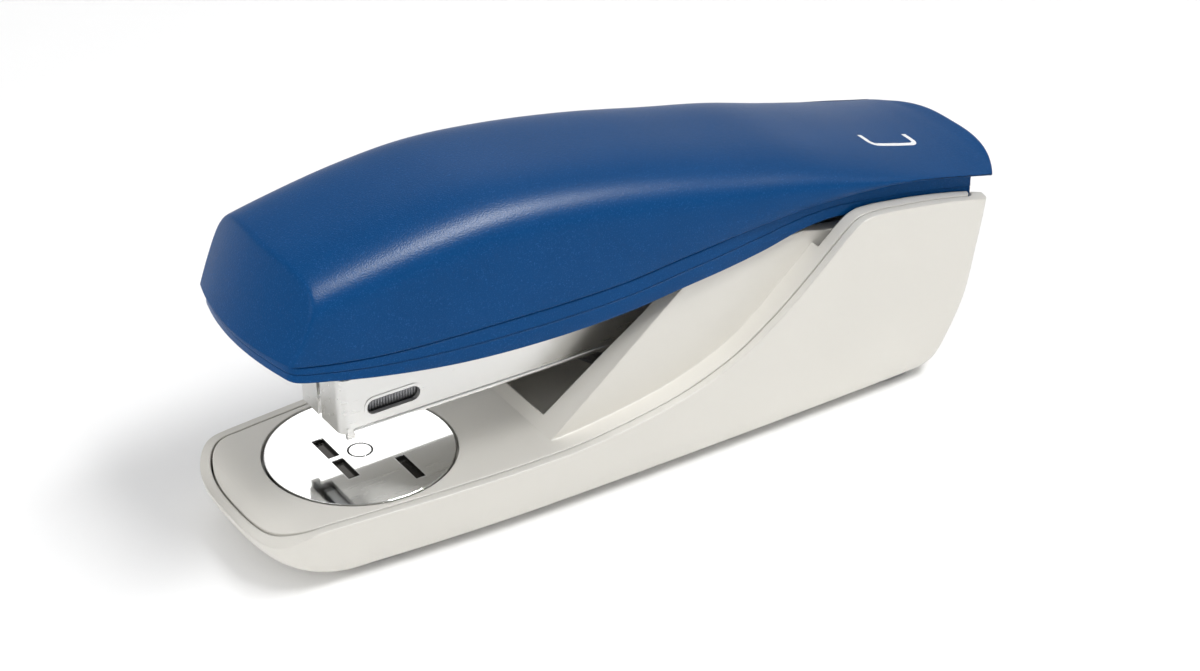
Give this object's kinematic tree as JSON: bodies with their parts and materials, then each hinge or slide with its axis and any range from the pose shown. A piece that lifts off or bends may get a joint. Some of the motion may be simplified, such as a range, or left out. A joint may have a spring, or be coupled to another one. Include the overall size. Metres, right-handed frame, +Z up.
{
  "type": "desk stapler",
  "caption": "Manual desk stapler with a sprung top-loading magazine under a curved plastic handle, on a deep two-shell base with a turning round anvil.",
  "frame": {"origin": "centre of the footprint, on the table under the feet", "axes": "+X from the nose to the hinge end, +Y across, +Z up"},
  "size_m": [0.1452, 0.0416, 0.0607],
  "materials": {
    "base_shell_plastic": "satin moulded warm light grey ABS",
    "chassis_steel": "zinc-plated pressed steel",
    "fastener_steel": "zinc-plated",
    "spring_steel": "spring wire",
    "foot_rubber": "soft grey rubber",
    "anvil_polished_steel": "mirror polished",
    "magazine_nickel": "satin nickel plated",
    "rail_steel": "cold rolled",
    "staple_wire": "galvanised wire, glued",
    "pusher_plastic": "matt black nylon",
    "cover_plastic": "satin deep blue with a fine sparkle"
  },
  "bodies": {
    "base": {"base_lower_shell": "base_shell_plastic", "base_upper_shell": "base_shell_plastic", "chassis_plate": "chassis_steel", "pivot_pin": "fastener_steel", "pin_clip_near": "fastener_steel", "pin_clip_far": "fastener_steel", "magazine_leaf_spring": "spring_steel", "foot_1": "foot_rubber", "foot_2": "foot_rubber", "foot_3": "foot_rubber", "foot_4": "foot_rubber", "base_screw_1": "fastener_steel", "base_screw_2": "fastener_steel", "base_screw_3": "fastener_steel", "base_screw_4": "fastener_steel", "anvil_spring": "spring_steel"},
    "anvil": {"anvil_disc": "anvil_polished_steel", "anvil_post": "anvil_polished_steel"},
    "anvil_button": {"anvil_button": "base_shell_plastic"},
    "magazine": {"magazine_channel": "magazine_nickel", "staple_rail": "rail_steel", "staple_strip": "staple_wire", "pusher_rod": "rail_steel", "pusher_spring": "spring_steel", "magazine_end_block": "pusher_plastic", "return_spring": "spring_steel"},
    "pusher": {"pusher": "pusher_plastic"},
    "press_lever": {"press_lever": "chassis_steel"},
    "handle": {"handle_cover": "cover_plastic", "handle_skirt": "cover_plastic", "handle_frame": "chassis_steel", "driver_blade": "rail_steel", "driver_rivet_near": "fastener_steel", "driver_rivet_far": "fastener_steel", "handle_screw_1": "fastener_steel", "handle_screw_2": "fastener_steel"}
  },
  "joints": [
    {"name": "magazine_tilt", "type": "hinge", "parent": "base", "child": "magazine", "pos_m": [0.061, 0, 0.0242], "axis": [0, -1, 0], "range_deg": [0, 3.8], "stiffness_Nm_per_rad": 0.6, "springref_deg": -20.05, "deforming": ["magazine_leaf_spring"]},
    {"name": "handle_press", "type": "hinge", "parent": "magazine", "child": "press_lever", "pos_m": [0.061, 0, 0.0242], "axis": [0, -1, 0], "range_deg": [0, 4], "stiffness_Nm_per_rad": 1, "springref_deg": -14.32, "deforming": ["return_spring"]},
    {"name": "handle_open", "type": "hinge", "parent": "press_lever", "child": "handle", "pos_m": [0.061, 0, 0.0242], "axis": [0, -1, 0], "range_deg": [-55, 0]},
    {"name": "pusher_slide", "type": "slide", "parent": "magazine", "child": "pusher", "axis": [1, 0, 0], "range_m": [0, 0.0325], "deforming": ["pusher_spring"]},
    {"name": "anvil_turn", "type": "hinge", "parent": "base", "child": "anvil", "pos_m": [-0.048, 0, 0.0118], "axis": [0, 0, 1], "range_deg": [0, 180]},
    {"name": "anvil_button_press", "type": "slide", "parent": "base", "child": "anvil_button", "axis": [0, 0, 1], "range_m": [0, 0.0012], "stiffness_N_per_m": 900, "springref_m": -0.001, "deforming": ["anvil_spring"]}
  ],
  "couplings": [
    {"joint": "pusher_slide", "follows": "handle_open", "m_per_rad": -0.0335}
  ]
}
